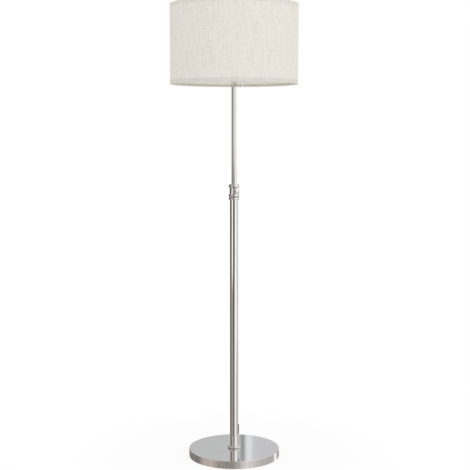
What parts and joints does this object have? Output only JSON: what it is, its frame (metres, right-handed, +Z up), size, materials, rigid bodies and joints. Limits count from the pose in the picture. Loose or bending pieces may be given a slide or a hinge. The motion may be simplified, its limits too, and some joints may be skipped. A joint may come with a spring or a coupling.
{
  "type": "floor lamp",
  "caption": "Adjustable floor lamp: weighted round base, telescopic plated pole with thumb-knob height clamp, screw-shell lamp holder with bulb and linen drum shade.",
  "frame": {"origin": "centre of the round base on the floor, under the pole's axis", "axes": "+Z up along the pole; -Y is the side the picture looks at; +X is the picture's right"},
  "size_m": [0.3999, 0.4, 1.4351],
  "materials": {
    "plated_metal": "polished nickel plate",
    "cast_iron": "raw casting",
    "zinc_steel": "zinc plated",
    "black_foam": "matt",
    "black_rubber": "satin",
    "nylon": "natural nylon",
    "brass": "turned",
    "white_plastic": "moulded",
    "steatite": "unglazed ceramic core",
    "white_wire": "powder coated",
    "linen": "linen on a stiff backing",
    "black_insulator": "glassy",
    "opal": "opal diffuser"
  },
  "bodies": {
    "base": {"base_cover": "plated_metal", "base_weight": "cast_iron", "base_pad": "black_foam", "base_spacer": "zinc_steel", "base_washer": "zinc_steel", "base_nut": "zinc_steel", "pole_stud": "zinc_steel", "foot_plug": "zinc_steel", "foot_ring": "plated_metal", "lower_tube": "plated_metal", "cable_outlet": "black_rubber", "clamp_collar": "plated_metal", "collar_trim_ring": "plated_metal", "guide_bush": "nylon"},
    "clamp_pad": {"clamp_pad": "nylon"},
    "clamp_knob": {"clamp_knob": "plated_metal", "clamp_screw": "zinc_steel"},
    "slider": {"slide_bush": "nylon"},
    "mast": {"end_ferrule": "brass", "bush_clip": "zinc_steel", "upper_tube": "plated_metal", "neck_coupler": "plated_metal", "top_nipple": "zinc_steel", "holder_cap": "white_plastic", "holder_core": "steatite", "terminal_screws": "brass", "holder_sleeve": "white_plastic", "screw_shell": "brass", "centre_contact": "brass", "shade_lock_ring": "white_plastic", "shade_hub": "white_wire", "shade_arms": "white_wire", "shade_bottom_ring": "white_wire", "shade_top_ring": "white_wire", "shade_panel": "linen", "shade_bottom_trim": "linen", "shade_top_trim": "linen", "bulb_contact": "black_insulator", "bulb_cap": "zinc_steel", "bulb_body": "white_plastic", "bulb_globe": "opal"}
  },
  "joints": [
    {"name": "height_slide", "type": "slide", "parent": "base", "child": "slider", "axis": [0, 0, 1], "range_m": [-0.3, 0.25]},
    {"name": "mast_swivel", "type": "hinge", "parent": "slider", "child": "mast", "pos_m": [0, 0, 0.58], "axis": [0, 0, 1], "range_deg": [-170, 170]},
    {"name": "clamp_travel", "type": "slide", "parent": "base", "child": "clamp_pad", "axis": [0.2924, -0.9563, 0], "range_m": [0, 0.002]},
    {"name": "clamp_turn", "type": "hinge", "parent": "clamp_pad", "child": "clamp_knob", "pos_m": [0.00585, -0.01913, 0.8572], "axis": [0.2924, -0.9563, 0], "range_deg": [0, 720]}
  ],
  "couplings": [
    {"joint": "clamp_turn", "follows": "clamp_travel", "rad_per_m": 6283.2}
  ]
}
